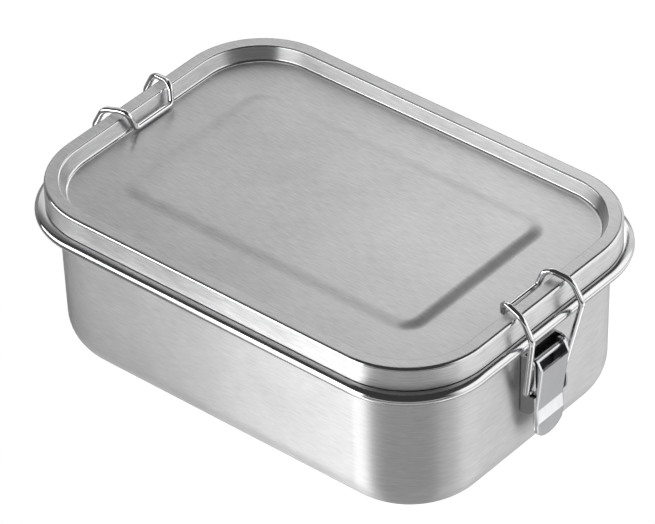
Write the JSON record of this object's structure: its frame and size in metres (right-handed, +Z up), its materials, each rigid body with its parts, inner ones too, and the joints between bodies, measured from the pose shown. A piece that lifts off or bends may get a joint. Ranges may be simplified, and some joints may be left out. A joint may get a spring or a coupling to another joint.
{
  "type": "lunch box",
  "caption": "Stainless steel lunch box with a pressed lid held by an over-centre wire latch on each short side.",
  "frame": {"origin": "centre of the box's footprint, on the surface it stands on", "axes": "+X along the box towards one latch, +Y across it, +Z up through the lid"},
  "size_m": [0.1938, 0.132, 0.0716],
  "materials": {
    "drawn_steel": "satin brushed stainless steel, bright on the bends",
    "latch_steel": "satin rolled stainless strip with bright sheared edges",
    "bright_wire": "polished stainless spring wire",
    "seal_rubber": "matt translucent-white silicone"
  },
  "bodies": {
    "tray_body": {"tray": "drawn_steel", "right_bracket": "latch_steel", "right_pin": "bright_wire", "left_bracket": "latch_steel", "left_pin": "bright_wire"},
    "lid_body": {"lid": "drawn_steel", "seal": "seal_rubber"},
    "right_lever_body": {"right_lever": "latch_steel"},
    "right_bail_body": {"right_bail": "bright_wire"},
    "left_lever_body": {"left_lever": "latch_steel"},
    "left_bail_body": {"left_bail": "bright_wire"}
  },
  "joints": [
    {"name": "right_lever_hinge", "type": "hinge", "parent": "tray_body", "child": "right_lever_body", "pos_m": [0.0909, 0, 0.0456], "axis": [0, -1, 0], "range_deg": [0, 150]},
    {"name": "right_bail_hinge", "type": "hinge", "parent": "right_lever_body", "child": "right_bail_body", "pos_m": [0.0902, 0, 0.0344], "axis": [0, -1, 0], "range_deg": [-330, 0], "deforming": ["right_bail"]},
    {"name": "left_lever_hinge", "type": "hinge", "parent": "tray_body", "child": "left_lever_body", "pos_m": [-0.0909, 0, 0.0456], "axis": [0, 1, 0], "range_deg": [0, 150]},
    {"name": "left_bail_hinge", "type": "hinge", "parent": "left_lever_body", "child": "left_bail_body", "pos_m": [-0.0902, 0, 0.0344], "axis": [0, 1, 0], "range_deg": [-330, 0], "deforming": ["left_bail"]},
    {"name": "lid_lift", "type": "slide", "parent": "tray_body", "child": "lid_body", "axis": [0, 0, 1], "range_m": [0, 0.08]}
  ],
  "couplings": [
    {"joint": "right_bail_hinge", "follows": "right_lever_hinge", "ratio": -2.2},
    {"joint": "left_bail_hinge", "follows": "left_lever_hinge", "ratio": -2.2}
  ]
}
